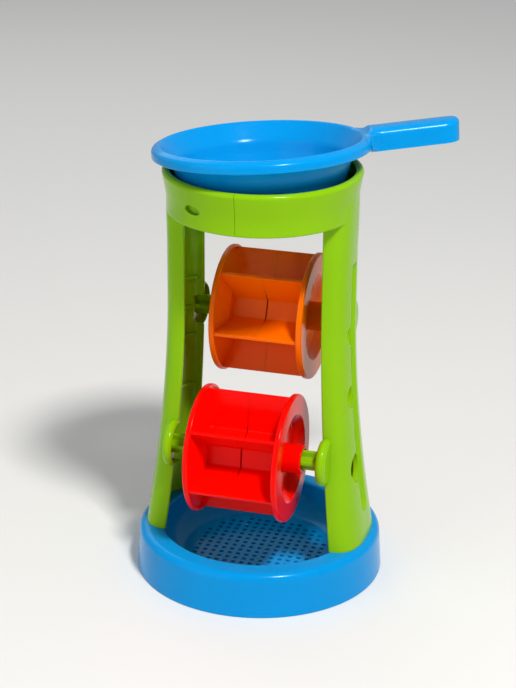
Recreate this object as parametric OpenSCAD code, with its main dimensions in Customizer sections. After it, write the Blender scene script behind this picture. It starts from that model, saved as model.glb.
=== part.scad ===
// Sand wheel toy: two paddle wheels in a two-part frame, on a round base, under a loose sieve pan.
// The origin is on the base's axis at the ground. X runs along the axles, and -Y is the front.

/* [Base tray] */
// Radius of the base at the ground
base_r = 85; // [78:1:95]
// Height of the base's rim
base_h = 31; // [26:1:40]
// Radius lost from the ground to the rim
base_draft = 1.8; // [0.5:0.1:3]
// Rounding of the outer edge
base_edge_r = 5; // [3:0.5:7]
// Width of the rim round the bowl
base_rim_w = 18; // [14:1:22]
// Width of the bowl's sloping side
bowl_side_w = 16; // [12:1:20]
// Height of the floor's upper face
floor_z = 8; // [6:0.5:12]
// Wall of the base
base_wall = 2.5; // [2:0.1:3.5]
// Side of a square hole in the floor
floor_hole = 3; // [2:0.1:3.8]
// Spacing of the holes in the floor
floor_pitch = 6; // [5.5:0.5:8]
// Solid edge left round the holes
floor_margin = 2; // [2:0.5:8]

/* [Ring] */
// Outer radius of the ring
ring_r = 62.8; // [60:0.2:65]
// Height of the ring's lower edge
ring_z = 258; // [245:1:275]
// Height of the ring itself
ring_h = 29; // [24:1:34]
// Wall of the ring
ring_wall = 2.6; // [2:0.1:3.2]
// Height of the flared lip
lip_h = 19; // [10:0.5:20]
// How far the lip stands out
lip_out = 3; // [1:0.5:5]
// Thickness of the ledge that carries the pan
ledge_t = 3; // [2:0.5:5]
// Gap between the two halves of the frame
seam_gap = 0.3; // [0.2:0.1:0.6]
// Length of the oval snap window
window_l = 13.5; // [9:0.5:15]
// Height of the oval snap window
window_h = 6.4; // [4:0.2:7]
// Height of the window's middle over the ring's lower edge
window_up = 12.5; // [9:0.5:14]
// Angle of the window past the seam
window_angle = 29; // [24:1:34]
// Thickness of the snap tongue
tongue_t = 2; // [1.5:0.1:2.4]
// Height of the snap's bump on the tongue
snap_h = 0.9; // [0.6:0.1:1.5]
// Angle over which the tongue is rooted in its own half
tongue_root = 12; // [8:1:16]

/* [Columns] */
// Half width of a column at the top
col_half_w = 23; // [20:0.5:26]
// Distance of the column's open edges from the middle, at the top
col_edge_x = 46.8; // [46:0.1:50]
// Distance of the column's outer face from the middle, at the top
col_face_x = 63; // [61:0.1:65]
// Half width of a column at the foot
foot_half_w = 34; // [28:0.5:36]
// Depth of a column at the foot, from its outer face to its open edges
foot_depth = 19.5; // [16:0.5:22]
// How far the foot's outer face stays inside the base
foot_inset = 7.5; // [6:0.5:10]
// Height where a column starts to flare
flare_z = 195; // [170:5:215]
// How late the flare comes
flare_power = 1.8; // [1.4:0.1:2.4]
// Squareness of the column's section
col_square = 2.8; // [2.2:0.1:3.6]
// Wall of a column
col_wall = 3; // [2.4:0.2:3.6]
// Width of the groove down the outer face
groove_w = 13; // [9:0.5:15]
// Depth of the groove
groove_d = 2.6; // [1.6:0.2:3.4]
// Height of the groove's lower end
groove_low = 49; // [42:1:60]
// Height of the groove's upper end
groove_high = 227; // [215:1:240]
// Heights of the three round holes
hole_heights = [83.5, 135, 178.5]; // [60:0.5:210]
// Radii of the three round holes
hole_radii = [10.8, 8.2, 6.7]; // [4:0.1:12]
// Thickness of a rib round the inside of a column
rib_t = 2; // [1.5:0.1:3]
// How far a rib stands up from the wall
rib_h = 2; // [1:0.1:4]
// Heights of the four ribs over the upper axle
rib_heights = [-57, -19, 2, 23]; // [-60:1:50]
// How far the ribs stay behind the open edges
rib_setback = 3.7; // [2:0.1:9]
// Length of the tenon under a column's foot
tenon_l = 10; // [6:0.5:14]
// Thickness of the tenon
tenon_t = 2; // [1.4:0.1:2.2]
// How far the tenon stays inside the foot's outer face
tenon_inset = 0.9; // [0.6:0.1:1.2]
// Width of the tenon
tenon_w = 24; // [16:1:28]
// Clearance round the tenon in its slot
tenon_gap = 0.3; // [0.2:0.1:0.5]

/* [Axles and cups] */
// How far each axle is off the middle, front or back
axle_y = 29.5; // [27:0.5:32]
// Height of the upper axle
upper_z = 175; // [168:1:180]
// Height of the lower axle
lower_z = 95; // [90:1:100]
// Radius over the axle's ribs
axle_r = 6.8; // [5.5:0.1:7.4]
// Thickness of the axle's ribs
axle_rib = 3; // [2.4:0.2:4]
// Radius of the axle's core
axle_core_r = 3.2; // [2.5:0.1:4]
// Radius of a cup
cup_r = 16; // [13:0.5:18]
// Distance of the cup's open face from the middle
cup_x = 49.5; // [47:0.5:51]
// Thickness of a cup
cup_t = 7; // [5.5:0.5:8]
// Depth of the dish in a cup
cup_dish = 3; // [1:0.2:3.4]
// Depth of the socket that holds the axle, from the cup's open face
socket_d = 6; // [4:0.1:6.2]
// Clearance round the axle in its socket
socket_gap = 0.2; // [0.1:0.05:0.4]

/* [Wheels] */
// Radius of a wheel
wheel_r = 43.3; // [36:0.5:45]
// Distance of the rim's outer face from the wheel's middle
wheel_half = 32.2; // [26:0.2:34]
// Width of the rim
rim_w = 4; // [3.5:0.5:7]
// Depth of the rim band
rim_band = 2.4; // [2:0.2:4]
// Wall of the wheel
wheel_wall = 2.4; // [1.8:0.1:3]
// Radius of the recess in the outer face
recess_r = 30; // [26:0.5:33]
// Depth of the recess
recess_d = 6.5; // [3:0.5:8]
// Number of paddles
paddles = 6; // [5:1:8]
// How far a paddle's edge stays inside the rim
paddle_inset = 1.5; // [1:0.1:3]
// Radius of the drum's corners, where the paddles start
drum_r = 16; // [15:0.5:19]
// Outer radius of the sleeve
sleeve_r = 9.75; // [9.3:0.1:10.5]
// How far the sleeve stands out past the rim
sleeve_out = 7.2; // [3:0.2:8]
// Running clearance of the sleeve on its axle
sleeve_gap = 0.3; // [0.2:0.05:0.5]
// How far the upper wheel lies along its axle, to the right
upper_float = -1.2; // [-4:0.1:4]
// How far the lower wheel lies along its axle, to the right
lower_float = -0.8; // [-4:0.1:4]
// Gap between the two halves of a wheel
wheel_seam = 0.4; // [0.2:0.1:0.8]
// Length of the spigot that joins the halves
spigot_l = 7; // [4:0.5:10]
// Clearance round the spigot
spigot_gap = 0.15; // [0.1:0.05:0.3]
// Upper wheel's angle at rest, from the front
upper_turn = 53; // [0:1:59]
// Lower wheel's angle at rest, from the front
lower_turn = 37; // [0:1:59]

/* [Sieve pan] */
// Clearance between the bowl's neck and the ring
pan_slack = 1.2; // [1:0.1:3]
// How far the pan's rim reaches past the neck
pan_reach = 12.6; // [9:0.2:16]
// Width of the rim's flat top
flange_w = 6.5; // [4:0.5:8]
// Height of the rim's skirt
skirt_h = 5.8; // [4:0.1:7]
// Depth of the neck, where the sloping side ends
flange_drop = 10; // [8:0.5:12]
// Depth of the pan
pan_depth = 44; // [42:0.5:47]
// Depth where the bowl's wall turns into the funnel
pan_straight = 17; // [14:0.5:20]
// Radius lost on each millimetre down the wall
pan_draft = 0.25; // [0.1:0.01:0.3]
// Radius lost on each millimetre down the funnel
pan_taper = 0.37; // [0.3:0.01:0.42]
// Wall of the pan
pan_wall = 2; // [1.6:0.1:2.6]
// Depth below the rim where the ledge holds the bowl
pan_seat = 41; // [38:0.5:42]
// Clearance between the bowl and the ledge
pan_gap = 0.5; // [0.4:0.1:1]
// Tilt of the pan as it lies in the ring
pan_tilt = 5.7; // [0:0.1:7]
// Direction of the pan's high side
pan_uphill = -41; // [-180:1:180]
// Side of a square hole in the pan's floor
sieve_hole = 4; // [2:0.5:5]
// Spacing of the holes in the pan's floor
sieve_pitch = 8; // [7:0.5:10]
// Solid edge left round the pan's holes
sieve_margin = 5; // [3:0.5:10]
// Length of the handle past the rim
handle_l = 58.8; // [40:0.2:75]
// Width of the handle
handle_w = 22; // [18:1:26]
// Height of the handle
handle_h = 15; // [12:0.5:18]
// Height of the handle's crown over its shoulders
handle_edge = 2; // [1:0.5:5]
// Direction of the handle
handle_angle = 23; // [-180:1:180]
// Height of the handle's crown above the rim
handle_over = 6; // [2:0.5:8]
// Upward slope of the handle in degrees
handle_rise = 2; // [0:0.5:4]

/* [Hidden] */
$fn = 96;
over = 1;
round_steps = 6;
curve_steps = 10;
section_steps = 19;
flare_steps = 10;
bowl_r = base_r - base_rim_w;
floor_r = bowl_r - bowl_side_w;
foot_face_x = base_r - foot_inset;
foot_edge_x = foot_face_x - foot_depth;
ring_in = ring_r - ring_wall;
ring_top = ring_z + ring_h;
lip_z = ring_top - lip_h;
window_z = ring_z + window_up;
pan_z = ring_z + ledge_t + pan_seat * cos(pan_tilt);
pan_bowl_r = ring_in - pan_slack;
pan_r = pan_bowl_r + pan_reach;
funnel_r = pan_bowl_r - (pan_straight - flange_drop) * pan_draft;
seat_r = funnel_r - (pan_seat - pan_straight) * pan_taper;
throat_r = seat_r + pan_gap;
pan_shift = tan(pan_tilt) * (pan_seat - seat_r * pan_taper);
sleeve_in = axle_r + sleeve_gap;
axle_half = cup_x + socket_d - socket_gap;
web_z = wheel_half - recess_d;
recess_in = recess_r - recess_d;
upper_at = [0, axle_y, upper_z];
lower_at = [0, -axle_y, lower_z];
upper_wheel_at = upper_at + [upper_float, 0, 0];
lower_wheel_at = lower_at + [lower_float, 0, 0];
tenon_x = foot_face_x - tenon_inset - tenon_t / 2;

// Points along an arc
function arc(c, r, from, to, n = round_steps) =
    [for (i = [0:n]) c + r * [cos(from + (to - from) * i / n), sin(from + (to - from) * i / n)]];

// Share of the flare at a height: 1 at the foot, 0 above the flare
function flare(z) = pow(max(0, flare_z - z) / (flare_z - base_h), flare_power);
function edge_x(z) = col_edge_x + (foot_edge_x - col_edge_x) * flare(z);
function face_x(z) = col_face_x + (foot_face_x - col_face_x) * flare(z);
function half_w(z) = col_half_w + (foot_half_w - col_half_w) * flare(z);
function bent(v) = sign(v) * pow(abs(v), 2 / col_square);

// One bowed line of a column's section, its wall moved in by t
function bow(z, t) = [for (i = [0:section_steps]) let (a = -90 + 180 * i / section_steps)
    [edge_x(z) + (face_x(z) - t - edge_x(z)) * bent(cos(a)), (half_w(z) - t) * bent(sin(a)), z]];
function turned(list) = [for (i = [len(list) - 1:-1:0]) list[i]];

// A solid through equal rings of points, each ring seen anticlockwise from above, an even count in each
module loft(rings) {
    n = len(rings[0]);
    levels = len(rings);
    last = (levels - 1) * n;
    points = [for (ring = rings) for (p = ring) p];
    sides = [for (k = [0:levels - 2]) for (i = [0:n - 1]) let (j = (i + 1) % n)
        each [[k * n + i, (k + 1) * n + i, (k + 1) * n + j], [k * n + i, (k + 1) * n + j, k * n + j]]];
    cap = [for (i = [0:n / 2 - 2]) each [[i, i + 1, n - 2 - i], [i, n - 2 - i, n - 1 - i]]];
    top = [for (t = cap) [last + t[2], last + t[1], last + t[0]]];
    polyhedron(points = points, faces = concat(sides, cap, top), convexity = 6);
}

function column_levels(top) =
    concat([for (k = [0:flare_steps]) base_h + (flare_z - base_h) * k / flare_steps], [top]);

// A round-ended bar in the YZ plane, from y, z low to high, cut through along X
module slot_bar(w, low, high, x_from, x_to) {
    translate([x_from, 0, 0]) rotate([90, 0, 90]) linear_extrude(x_to - x_from) {
        translate([0, low + w / 2]) circle(d = w);
        translate([0, high - w / 2]) circle(d = w);
        translate([-w / 2, low + w / 2]) square([w, high - low - w]);
    }
}

// A band that follows the column's outer face, between two depths below it
module face_band(w, low, high, depth_from, depth_to) {
    heights = [for (k = [0:curve_steps]) low - over + (high - low + 2 * over) * k / curve_steps];
    outer = [for (z = heights) [face_x(z) - depth_from, z]];
    inner = [for (z = turned(heights)) [face_x(z) - depth_to, z]];
    translate([0, w / 2 + over, 0]) rotate([90, 0, 0]) linear_extrude(w + 2 * over)
        polygon(concat(outer, inner));
}

// A round-ended bar bent along the column's outer face
module groove_bar(w, low, high, depth_from, depth_to) {
    intersection() {
        slot_bar(w, low, high, col_edge_x, foot_face_x + 2 * over);
        face_band(w, low, high, depth_from, depth_to);
    }
}

// A column with its groove's inner wall, the ribs round its inside and its tenon
module column() {
    levels = column_levels(lip_z);
    loft([for (z = levels) concat(bow(z, 0), turned(bow(z, col_wall)))]);
    groove_bar(groove_w + 2 * col_wall, groove_low - col_wall, groove_high + col_wall,
        col_wall / 2, groove_d + col_wall);
    intersection() {
        for (up = rib_heights) let (z = upper_z + up)
            translate([edge_x(z) + rib_setback, -foot_half_w, z - rib_t / 2])
                cube([foot_face_x, 2 * foot_half_w, rib_t]);
        difference() {
            loft([for (z = levels) bow(z, col_wall / 2)]);
            loft([for (z = levels) bow(z, col_wall + rib_h)]);
        }
    }
    translate([tenon_x - tenon_t / 2, -tenon_w / 2, base_h - tenon_l])
        cube([tenon_t, tenon_w, tenon_l + over]);
}

// The groove, the round holes and the ring's inside
module column_cuts() {
    groove_bar(groove_w, groove_low, groove_high, -2 * over, groove_d);
    for (i = [0:len(hole_heights) - 1]) translate([edge_x(hole_heights[i]), -groove_w / 2, hole_heights[i]])
        rotate([0, 90, 0]) cylinder(r = hole_radii[i], h = foot_face_x);
    translate([0, 0, ring_z + ledge_t]) cylinder(r = ring_in, h = ring_h);
}

// Half of the ring on the right side, with its flared lip and the ledge
module half_ring() {
    roll = (lip_out + ring_wall) / 2;
    lip = arc([ring_r + lip_out - roll, ring_top - roll], roll, 0, 150);
    profile = concat([[throat_r, ring_z], [ring_r, ring_z], [ring_r, lip_z]], lip,
        [[ring_in, lip_z - ring_wall], [ring_in, ring_z + ledge_t], [throat_r, ring_z + ledge_t]]);
    rotate([0, 0, -90]) rotate_extrude(angle = 180) polygon(profile);
}

// A thick cup beside a column, with a round rim and a dished face; the channel stays open
module cup(y, z) {
    bead = cup_t / 2;
    rim = arc([cup_r - bead, bead], bead, -90, 90);
    dish_r = cup_r - bead;
    inside_w = half_w(z) - col_wall / 2;
    difference() {
        translate([cup_x, y, z]) rotate([0, 90, 0]) rotate_extrude()
            polygon(concat([[0, cup_dish], [dish_r - cup_dish, cup_dish], [dish_r, 0]], rim, [[0, cup_t]]));
        loft([for (h = column_levels(lip_z)) bow(h, col_wall / 2)]);
        translate([0, -inside_w, z - cup_r - over])
            cube([edge_x(z) + over, 2 * inside_w, 2 * (cup_r + over)]);
    }
}

// The hole for an axle's end, cut from in front of the column's open edge
module socket(y, z) {
    start = col_edge_x - over;
    translate([start, y, z]) rotate([0, 90, 0])
        cylinder(r = axle_r + socket_gap, h = cup_x + socket_d - start);
}

// The oval of the snap window, cut outwards at the window's angle past the seam
module window_oval(side, margin, from, to) {
    l = window_l - 2 * margin;
    h = window_h - 2 * margin;
    rotate([0, 0, side * (90 + window_angle)]) translate([from, 0, window_z])
        rotate([90, 0, 90]) linear_extrude(to - from) {
            for (s = [-1, 1]) translate([s * (l - h) / 2, 0]) circle(d = h);
            square([l - h, h], center = true);
        }
}

// A snap tongue that starts in this half and reaches past the seam, inside the other half
module tongue(side) {
    reach = window_angle + asin(window_l / ring_r);
    low = window_z - window_h / 2;
    out = ring_in - tenon_gap;
    pad = tongue_root - 2 * seam_gap;
    rotate([0, 0, side > 0 ? 90 - tongue_root : -90 - reach])
        rotate_extrude(angle = reach + tongue_root)
            translate([out - tongue_t, low]) square([tongue_t, window_h]);
    rotate([0, 0, side > 0 ? 90 - pad - seam_gap : -90 + seam_gap]) rotate_extrude(angle = pad)
        translate([out - tongue_t / 2, low])
            square([tongue_t / 2 + ring_wall / 2 + tenon_gap, window_h]);
    window_oval(side, 2 * tenon_gap, out - tongue_t / 2, out + snap_h);
}

// The right half of the frame; the left half is its mirror image, apart from the snaps
module frame_half() {
    difference() {
        union() {
            difference() {
                column();
                column_cuts();
            }
            half_ring();
            cup(upper_at.y, upper_at.z);
            cup(lower_at.y, lower_at.z);
        }
        socket(upper_at.y, upper_at.z);
        socket(lower_at.y, lower_at.z);
        translate([-ring_r, -2 * ring_r, ring_z - over])
            cube([ring_r + seam_gap / 2, 4 * ring_r, ring_h + 2 * over]);
    }
}

module right_frame() {
    color("yellowgreen") {
        frame_half();
        for (side = [-1, 1]) tongue(side);
    }
}

module left_frame() {
    color("yellowgreen") difference() {
        mirror([1, 0, 0]) frame_half();
        for (side = [-1, 1]) window_oval(side, 0, ring_in - over, ring_r + lip_out);
    }
}

// The base: an outer wall, a bowl with a pierced floor and a slot for each tenon
module base_tray() {
    top_r = base_r - base_draft;
    mouth_edge = 1.5;
    outside = concat([[base_r, 0]], arc([top_r - base_edge_r, base_h - base_edge_r], base_edge_r, 0, 90));
    mouth = arc([bowl_r + mouth_edge, base_h - mouth_edge], mouth_edge, 90, 180);
    bowl = [for (i = [1:curve_steps]) let (t = 90 * i / curve_steps)
        [floor_r + (bowl_r - floor_r) * cos(t),
            base_h - mouth_edge - (base_h - mouth_edge - floor_z) * sin(t)]];
    under = [for (i = [curve_steps:-1:1]) let (t = 90 * i / curve_steps)
        [floor_r + (bowl_r + base_wall - floor_r) * cos(t),
            base_h - base_wall - (base_h - floor_z) * sin(t)]];
    inside = arc([top_r - base_edge_r, base_h - base_edge_r], base_edge_r - base_wall, 90, 0);
    profile = concat(outside, mouth, bowl, [[0, floor_z], [0, floor_z - base_wall]], under,
        [[bowl_r + base_wall, base_h - base_wall]], inside, [[base_r - base_wall, 0]]);
    field = floor_r - floor_margin;
    count = floor(field / floor_pitch);
    color("dodgerblue") difference() {
        rotate_extrude() polygon(profile);
        for (i = [-count:count], j = [-count:count])
            if (norm([i, j]) * floor_pitch + norm([floor_hole, floor_hole]) / 2 <= field)
                translate([i * floor_pitch, j * floor_pitch, floor_z - base_wall / 2])
                    cube([floor_hole, floor_hole, base_wall + 2 * over], center = true);
        for (side = [-1, 1]) translate([side * tenon_x, 0, base_h])
            cube([tenon_t + 2 * tenon_gap, tenon_w + 2 * tenon_gap, 4 * base_wall], center = true);
    }
}

// A rod with a cross-shaped section, along X through a point
module axle(at) {
    color("yellowgreen") translate(at) rotate([0, 90, 0]) intersection() {
        cylinder(r = axle_r, h = 2 * axle_half, center = true);
        union() {
            cylinder(r = axle_core_r, h = 2 * axle_half, center = true);
            for (turn = [0, 90]) rotate([0, 0, turn])
                cube([4 * axle_r, axle_rib, 2 * axle_half], center = true);
        }
    }
}

module upper_axle() { axle(upper_at); }
module lower_axle() { axle(lower_at); }

// Disc of a wheel half round the Z axis: rim, web, conical recess and sleeve
module wheel_disc() {
    edge = rim_band / 3;
    face = wheel_half;
    inner_face = face - rim_w;
    rotate_extrude() polygon(concat(
        arc([wheel_r - edge, face - edge], edge, 0, 90),
        [[recess_r, face], [recess_in, web_z], [sleeve_r, web_z],
            [sleeve_r, face + sleeve_out], [sleeve_in, face + sleeve_out],
            [sleeve_in, web_z - wheel_wall], [recess_in, web_z - wheel_wall],
            [wheel_r - rim_band, face - wheel_wall], [wheel_r - rim_band, inner_face]],
        arc([wheel_r - edge, inner_face + edge], edge, -90, 0)));
}

// The hollow drum and the paddles of a wheel half
module wheel_vanes() {
    low = wheel_seam / 2;
    deep = web_z - wheel_wall / 2 - low;
    flat = cos(180 / paddles);
    translate([0, 0, low]) linear_extrude(deep) difference() {
        circle(r = drum_r, $fn = paddles);
        circle(r = drum_r - wheel_wall / flat, $fn = paddles);
    }
    intersection() {
        union() {
            for (i = [0:paddles - 1]) rotate([0, 0, i * 360 / paddles])
                translate([drum_r - wheel_wall, -wheel_wall / 2, low])
                    cube([wheel_r - paddle_inset - drum_r + wheel_wall, wheel_wall, wheel_half]);
        }
        rotate_extrude() polygon([[0, 0], [wheel_r - paddle_inset, 0],
            [wheel_r - paddle_inset, wheel_half - rim_w + over / 2],
            [wheel_r - rim_band - over / 20, wheel_half - rim_w + over / 2],
            [wheel_r - rim_band - over / 20, wheel_half - wheel_wall / 2],
            [recess_in, web_z - wheel_wall / 2], [0, web_z - wheel_wall / 2]]);
    }
}

// Tube round the axle inside the drum; the left half's spigot enters the right half's socket
module wheel_tube(is_left) {
    top = web_z - wheel_wall / 2;
    low = wheel_seam / 2;
    socket_in = sleeve_r + spigot_gap;
    rotate_extrude() {
        if (is_left) translate([sleeve_in, -spigot_l])
            square([sleeve_r - sleeve_in, top + spigot_l]);
        else polygon([[sleeve_in, spigot_l + low], [socket_in, spigot_l + low], [socket_in, low],
            [socket_in + wheel_wall, low], [socket_in + wheel_wall, spigot_l + wheel_wall],
            [sleeve_r, spigot_l + wheel_wall], [sleeve_r, top], [sleeve_in, top]]);
    }
}

// One half of a wheel, turned and set on its axle
module wheel_half_at(at, turn, is_left) {
    translate(at) mirror([is_left ? 1 : 0, 0, 0]) rotate([0, 90, 0]) rotate([0, 0, 270 - turn]) {
        wheel_disc();
        wheel_vanes();
        wheel_tube(is_left);
    }
}

module upper_wheel_left() { color("darkorange") wheel_half_at(upper_wheel_at, upper_turn, true); }
module upper_wheel_right() { color("darkorange") wheel_half_at(upper_wheel_at, upper_turn, false); }
module lower_wheel_left() { color("red") wheel_half_at(lower_wheel_at, lower_turn, true); }
module lower_wheel_right() { color("red") wheel_half_at(lower_wheel_at, lower_turn, false); }

// Outer radius of the pan's bowl at a depth below the rim
function pan_out(depth) = depth < pan_straight ? pan_bowl_r - (depth - flange_drop) * pan_draft
    : funnel_r - (depth - pan_straight) * pan_taper;

// The pan's round body about its own axis, its rim's upper face at height 0
module pan_body() {
    edge = 1;
    floor_top = pan_depth - pan_wall;
    flat_r = pan_r - flange_w;
    rotate_extrude() polygon(concat(
        [[0, -pan_depth], [pan_out(pan_depth), -pan_depth], [funnel_r, -pan_straight],
            [pan_bowl_r, -flange_drop], [flat_r + pan_wall / 2, -pan_wall],
            [pan_r - pan_wall, -pan_wall], [pan_r - pan_wall, -skirt_h], [pan_r, -skirt_h]],
        arc([pan_r - edge, -edge], edge, 0, 90),
        [[flat_r, 0], [pan_bowl_r - pan_wall, -flange_drop], [funnel_r - pan_wall, -pan_straight],
            [pan_out(floor_top) - pan_wall, -floor_top], [0, -floor_top]]));
}

// Section across the handle, shrunk by a margin: flat below and crowned above, its sides cut later
module handle_section(margin) {
    w = handle_w + 2 * over;
    crown_r = (pow(handle_w / 2, 2) + pow(handle_edge, 2)) / (2 * handle_edge) - margin;
    intersection() {
        translate([-w / 2, -handle_h]) square([w, handle_h]);
        translate([0, -crown_r - margin]) circle(r = crown_r);
    }
}

// The handle along X with a round end, shrunk by a margin
module handle_bar(margin, from, to) {
    r = handle_w / 2 - margin;
    end = to - margin;
    intersection() {
        translate([from, 0, 0]) rotate([90, 0, 90]) linear_extrude(end - from + over) handle_section(margin);
        translate([0, 0, -2 * handle_h]) linear_extrude(3 * handle_h) {
            translate([from - over, -r]) square([end - r - from + over, 2 * r]);
            translate([end - r, 0]) circle(r = r);
        }
    }
}

// The pan with its handle, tilted in the ring
module sieve_pan() {
    field = pan_out(pan_depth) - pan_wall - sieve_margin;
    count = floor(field / sieve_pitch);
    root = pan_r - pan_wall;
    tip = pan_r + handle_l;
    color("dodgerblue") translate([-pan_shift * cos(pan_uphill), -pan_shift * sin(pan_uphill), pan_z])
        rotate([0, 0, pan_uphill]) rotate([0, -pan_tilt, 0]) rotate([0, 0, -pan_uphill]) {
            difference() {
                pan_body();
                rotate([0, 0, handle_angle]) for (i = [-count:count], j = [-count:count])
                    if (norm([i, j]) * sieve_pitch + norm([sieve_hole, sieve_hole]) / 2 <= field)
                        translate([i * sieve_pitch, j * sieve_pitch, pan_wall / 2 - pan_depth])
                            cube([sieve_hole, sieve_hole, pan_wall + 2 * over], center = true);
            }
            rotate([0, 0, handle_angle]) translate([root, 0, handle_over])
                rotate([0, -handle_rise, 0]) translate([-root, 0, 0])
                difference() {
                    handle_bar(0, root, tip);
                    translate([0, 0, -over / 10]) handle_bar(pan_wall, pan_r, tip);
                }
        }
}

base_tray();
left_frame();
right_frame();
upper_axle();
lower_axle();
upper_wheel_left();
upper_wheel_right();
lower_wheel_left();
lower_wheel_right();
sieve_pan();
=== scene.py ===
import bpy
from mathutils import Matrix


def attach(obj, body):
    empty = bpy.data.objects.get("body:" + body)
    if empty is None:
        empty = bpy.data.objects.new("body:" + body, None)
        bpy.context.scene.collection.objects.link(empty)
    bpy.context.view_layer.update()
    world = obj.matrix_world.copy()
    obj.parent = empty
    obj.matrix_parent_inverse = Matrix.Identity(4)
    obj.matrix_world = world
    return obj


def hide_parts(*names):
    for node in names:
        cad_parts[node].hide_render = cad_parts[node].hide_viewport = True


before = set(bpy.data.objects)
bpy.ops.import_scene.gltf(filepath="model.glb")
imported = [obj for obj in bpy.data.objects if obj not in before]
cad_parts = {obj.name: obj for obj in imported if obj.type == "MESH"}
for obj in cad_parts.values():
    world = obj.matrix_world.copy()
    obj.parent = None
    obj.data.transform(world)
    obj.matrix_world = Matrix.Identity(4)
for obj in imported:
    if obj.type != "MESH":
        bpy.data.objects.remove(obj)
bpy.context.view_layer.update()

import math

import bmesh
import bpy
from mathutils import Matrix, Vector

mm = 0.001  # sizes below are in millimetres, the scene is in metres
scene = bpy.context.scene
scene.view_settings.view_transform = "Standard"
print("frame loaded:", len(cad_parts), "solids")


def hexLinear(code):  # sRGB hex to a linear colour
    parts = [int(code[i:i + 2], 16) / 255 for i in (1, 3, 5)]
    return [v / 12.92 if v <= 0.04045 else ((v + 0.055) / 1.055) ** 2.4 for v in parts] + [1.0]


def addNode(tree, kind, settings=None, inputs=None):  # one node with its settings, values and links
    node = tree.nodes.new(kind)
    for name, value in (settings or {}).items():
        setattr(node, name, value)
    for name, value in (inputs or {}).items():
        socket = next(s for s in node.inputs if s.identifier == name)
        if isinstance(value, bpy.types.NodeSocket):
            tree.links.new(value, socket)
        else:
            socket.default_value = value
    return node


# Materials: every piece is injection moulded polypropylene, pigmented right through.
# That gives a waxy gloss, a faint orange-peel skin, slight flow clouds in the colour,
# light that creeps a little way in at thin edges, and fine rubs from sand.
plastics = {
    "blue": dict(colour="#0096DA", deep="#008CD0", glow=(0.2, 0.6, 1.0)),
    "lime": dict(colour="#8CC008", deep="#82B604", glow=(0.6, 1.0, 0.2)),
    "orange": dict(colour="#FC7000", deep="#F46600", glow=(1.0, 0.4, 0.1)),
    "red": dict(colour="#F60600", deep="#EC0400", glow=(1.0, 0.15, 0.1)),
}
plasticSkin = dict(
    ior=1.49, shine=0.22, gloss=0.17, rubbed=0.24, creepShare=0.3,
    tint=0.5,  # share of the pigment in the gloss, because it lies close under the skin
    cloud=38,  # mm, size of the flow clouds in the pigment
    peel=1.6,  # mm, grain of the orange peel, about twice as coarse as real so that it shows
    rub=5.0,  # mm, spacing of the fine rubs
    peelDepth=0.012, rubDepth=0.004,  # mm
    creep=4.0,  # mm, how far light goes in
)


def mouldedPlastic(key, look):
    material = bpy.data.materials.new("mouldedPolypropylene" + key.capitalize())
    material.use_nodes = True
    tree = material.node_tree
    shader = tree.nodes["Principled BSDF"]
    skin = plasticSkin
    perMetre = 1 / mm  # noise scales count grains in a metre
    place = addNode(tree, "ShaderNodeTexCoord").outputs["Object"]
    cloud = addNode(tree, "ShaderNodeTexNoise", inputs={
        "Vector": place, "Scale": perMetre / skin["cloud"], "Detail": 3.0, "Roughness": 0.55,
        "Distortion": 0.6})
    colour = addNode(tree, "ShaderNodeMix", {"data_type": "RGBA"}, {
        "Factor_Float": cloud.outputs["Fac"],
        "A_Color": hexLinear(look["colour"]), "B_Color": hexLinear(look["deep"])})
    tree.links.new(colour.outputs[2], shader.inputs["Base Color"])
    stretch = addNode(tree, "ShaderNodeMapping", inputs={
        "Vector": place, "Rotation": (0.5, 0.3, 0.7), "Scale": (1.0, 0.12, 1.0)})
    rub = addNode(tree, "ShaderNodeTexNoise", inputs={
        "Vector": stretch.outputs["Vector"], "Scale": perMetre / skin["rub"], "Detail": 5.0,
        "Roughness": 0.7})
    rubbed = addNode(tree, "ShaderNodeMapRange", inputs={
        "Value": rub.outputs["Fac"], "From Min": 0.5, "From Max": 0.74,
        "To Min": skin["gloss"], "To Max": skin["rubbed"]})
    tree.links.new(rubbed.outputs["Result"], shader.inputs["Roughness"])
    peel = addNode(tree, "ShaderNodeTexNoise", inputs={
        "Vector": place, "Scale": perMetre / skin["peel"], "Detail": 1.0, "Roughness": 0.4})
    peelBump = addNode(tree, "ShaderNodeBump", inputs={
        "Strength": 0.2, "Distance": skin["peelDepth"] * mm, "Height": peel.outputs["Fac"]})
    rubBump = addNode(tree, "ShaderNodeBump", inputs={
        "Strength": 0.15, "Distance": skin["rubDepth"] * mm, "Height": rub.outputs["Fac"],
        "Normal": peelBump.outputs["Normal"]})
    tree.links.new(rubBump.outputs["Normal"], shader.inputs["Normal"])
    shader.inputs["IOR"].default_value = skin["ior"]
    shader.inputs["Specular IOR Level"].default_value = skin["shine"]
    tint = [1 - skin["tint"] + skin["tint"] * part for part in hexLinear(look["colour"])]
    shader.inputs["Specular Tint"].default_value = tint
    shader.inputs["Subsurface Weight"].default_value = skin["creepShare"]
    shader.inputs["Subsurface Radius"].default_value = look["glow"]
    shader.inputs["Subsurface Scale"].default_value = skin["creep"] * mm
    return material


paint = {key: mouldedPlastic(key, look) for key, look in plastics.items()}
print("materials made:", len(paint))


# Geometry Nodes: a unit repeated round the X axis, and square holes on a grid.
def treeInputs(tree, names):
    tree.interface.new_socket("Geometry", in_out="INPUT", socket_type="NodeSocketGeometry")
    sockets = {name: tree.interface.new_socket(name, in_out="INPUT", socket_type=kind)
               for name, kind in names.items()}
    tree.interface.new_socket("Geometry", in_out="OUTPUT", socket_type="NodeSocketGeometry")
    return {name: socket.identifier for name, socket in sockets.items()}


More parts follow.
